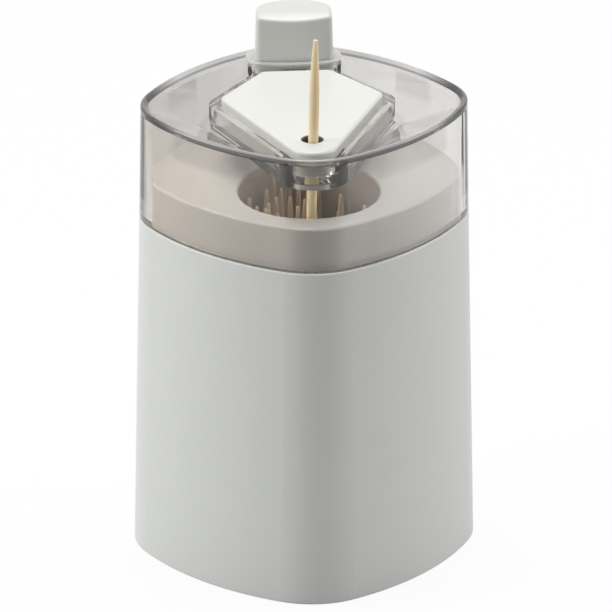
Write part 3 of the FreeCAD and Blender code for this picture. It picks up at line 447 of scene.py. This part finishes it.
def pick_mesh(bm, foot, lean, turn, length):
    """One pick with a curved point at each end, standing on foot and leaning."""
    point = []
    for number in range(POINT_RINGS + 1):
        share = number / POINT_RINGS
        bulge = (PICK_RADIUS - PICK_TIP) * math.sin(share * math.pi / 2)
        point.append((PICK_POINT * share, PICK_TIP + bulge))
    rings = point + [(length - height, wide) for height, wide in reversed(point)]
    upright = Matrix.Translation(foot) @ Matrix.Rotation(turn, 4, "Z")
    place = upright @ Matrix.Rotation(lean, 4, "Y")
    previous = None
    for height, wide in rings:
        ring = []
        for side in range(PICK_SIDES):
            angle = 2 * math.pi * side / PICK_SIDES
            spot = Vector((wide * math.cos(angle), wide * math.sin(angle), height))
            ring.append(bm.verts.new(place @ spot))
        if previous:
            for side in range(PICK_SIDES):
                after = (side + 1) % PICK_SIDES
                bm.faces.new((previous[side], previous[after], ring[after], ring[side]))
        else:
            bm.faces.new(list(reversed(ring)))
        previous = ring
    bm.faces.new(previous)


def pick_feet():
    """Places in the cup for the picks' lower ends, closer together on the left."""
    cup_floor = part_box("toothpick_bundle")[0][2]
    middle = Vector((*MOUTH, cup_floor + 0.3 * MM))
    feet = []
    for _ in range(PLACING_TRIES):
        across = rng.uniform(-CUP_REACH, CUP_REACH) * MM
        along = rng.uniform(-CUP_REACH, CUP_REACH) * MM
        foot = middle + Vector((across, along, 0))
        gap = GAP_LEFT if foot.x < 1 * MM else GAP_RIGHT
        outside = (foot - middle).length > CUP_REACH * MM
        if outside or (foot.xy - LANE).length < LANE_RADIUS:
            continue
        if any((foot - other).length < gap for other in feet):
            continue
        feet.append(foot)
    return feet


def stored_picks():
    """Picks that stand in the cup, leaning a little to all sides."""
    bm = bmesh.new()
    for foot in pick_feet():
        lean = math.radians(rng.uniform(*LEAN))
        turn = rng.uniform(0, 2 * math.pi)
        lift = rng.uniform(0.0, LIFT_LEFT if foot.x < 0 else LIFT_RIGHT) * MM
        length = PICK_LENGTH * rng.uniform(*LENGTH_SHARE)
        pick_mesh(bm, foot + Vector((0, 0, lift)), lean, turn, length)
    mesh = bpy.data.meshes.new("stored_picks")
    bm.to_mesh(mesh)
    bm.free()
    for face in mesh.polygons:
        face.use_smooth = len(face.vertices) == 4
    mesh.materials.append(MATERIALS["toothpick_bundle"])
    piece = new_object("stored_picks", mesh)
    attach(piece, "base")
    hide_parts("toothpick_bundle")


stored_picks()


# ---------------------------------------------------------------- springs

def return_spring(side):
    """Copy of the CAD's spring with a mesh of its own, attached to the lid."""
    node = "button_spring_" + side
    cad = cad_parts[node]
    mesh = cad.data.copy()
    mesh.transform(cad.matrix_world)
    mesh.materials.clear()
    mesh.materials.append(MATERIALS[node])
    piece = new_object("return_spring_" + side, mesh)
    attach(piece, "lid")
    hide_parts(node)
    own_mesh(piece)


return_spring("left")
return_spring("right")


# ---------------------------------------------------------------- floor, light and camera

def background_rays(tree):
    """1 for rays that see the white background: from the camera, gloss or glass."""
    path = add(tree, "ShaderNodeLightPath")
    first = math_node(tree, "MAXIMUM", path.outputs["Is Camera Ray"],
                      path.outputs["Is Transmission Ray"])
    return math_node(tree, "MAXIMUM", first, path.outputs["Is Glossy Ray"])


def floor_glow(tree):
    """Strength of the floor's white for the rays that see it as background.

    The camera sees it white. Through the lid it is a little brighter, with a painted grey
    patch
    to the left: painted shade seen through the lid. Far in front it is dark for all but the
    camera: a painted dark reflection.
    """
    place = place_of(tree)
    path = add(tree, "ShaderNodeLightPath")
    through = path.outputs["Is Transmission Ray"]
    # Painted shade: a grey patch to the left, seen only through the lid.
    painted_grey_patch = product(tree, through, between(tree, place["X"], -0.08, 0.0, 0.06))
    # Painted dark reflection: the floor far in front is dark for all rays but the camera's.
    painted_dark_front = rising(tree, place["Y"], -0.195, 0.02, 0.08, 1.0)
    painted_dark_front = math_node(tree, "MAXIMUM", painted_dark_front, path.outputs["Is Camera Ray"])
    return product(tree, span(tree, painted_grey_patch, 1.08, 0.50), span(tree, through, 1.0, 1.12), painted_dark_front)


def floor():
    """Pale floor just below the object, which the camera sees white."""
    bm = bmesh.new()
    bmesh.ops.create_grid(bm, x_segments=8, y_segments=8, size=4.0)
    mesh = bpy.data.meshes.new("floor")
    bm.to_mesh(mesh)
    bm.free()
    material, tree, shader = new_material("pale_floor")
    shader.inputs["Base Color"].default_value = (0.50, 0.50, 0.50, 1)
    shader.inputs["Roughness"].default_value = 0.9
    shader.inputs["Specular IOR Level"].default_value = 0.1
    glow = add(tree, "ShaderNodeEmission")
    tree.links.new(floor_glow(tree), glow.inputs["Strength"])
    share = product(tree, background_rays(tree), 0.85)
    surface = blend(tree, share, shader.outputs["BSDF"], glow.outputs["Emission"])
    tree.links.new(surface, tree.nodes["Material Output"].inputs["Surface"])
    mesh.materials.append(material)
    piece = new_object("floor", mesh)
    piece.location.z = CAD_BOUNDS[0][2] - 0.05 * MM


def sky():
    """World that lights the scene evenly, and is white as background."""
    world = bpy.data.worlds.new("studio")
    bpy.context.scene.world = world
    world.use_nodes = True
    tree = world.node_tree
    light = tree.nodes["Background"]
    light.inputs["Color"].default_value = (1, 1, 1, 1)
    light.inputs["Strength"].default_value = SKY_LIGHT
    white = add(tree, "ShaderNodeBackground")
    white.inputs["Strength"].default_value = 1.0
    surface = blend(tree, background_rays(tree), light.outputs["Background"],
                    white.outputs["Background"])
    tree.links.new(surface, tree.nodes["World Output"].inputs["Surface"])


def lamp(name, place, power):
    """Square soft lamp that points at the middle of the object."""
    light = bpy.data.lights.new(name, "AREA")
    light.shape = "SQUARE"
    light.size = LAMP_WIDTH
    light.energy = power
    holder = new_object(name, light)
    holder.location = place
    aim = LAMP_AIM - Vector(place)
    holder.rotation_euler = aim.to_track_quat("-Z", "Y").to_euler()


def camera():
    """Camera that sees the object as the photo does."""
    lens = bpy.data.cameras.new("camera")
    lens.sensor_width = SENSOR_WIDTH
    lens.lens = FOCAL_LENGTH / PHOTO_SIDE * SENSOR_WIDTH
    lens.shift_x = (PHOTO_SIDE / 2 - LENS_AXIS[0]) / PHOTO_SIDE
    lens.shift_y = (LENS_AXIS[1] - PHOTO_SIDE / 2) / PHOTO_SIDE
    lens.clip_end = 20
    level = math.cos(CAMERA_RISE)
    back = Vector((-math.sin(CAMERA_TURN) * level, -math.cos(CAMERA_TURN) * level,
                   math.sin(CAMERA_RISE)))
    holder = new_object("camera", lens)
    holder.location = CAMERA_AIM + back * CAMERA_AWAY
    holder.rotation_euler = (-back).to_track_quat("-Z", "Y").to_euler()
    bpy.context.scene.camera = holder


floor()
sky()
for name, place, power in LAMPS:
    lamp(name, place, power)
camera()
bpy.context.scene.view_settings.view_transform = "Standard"
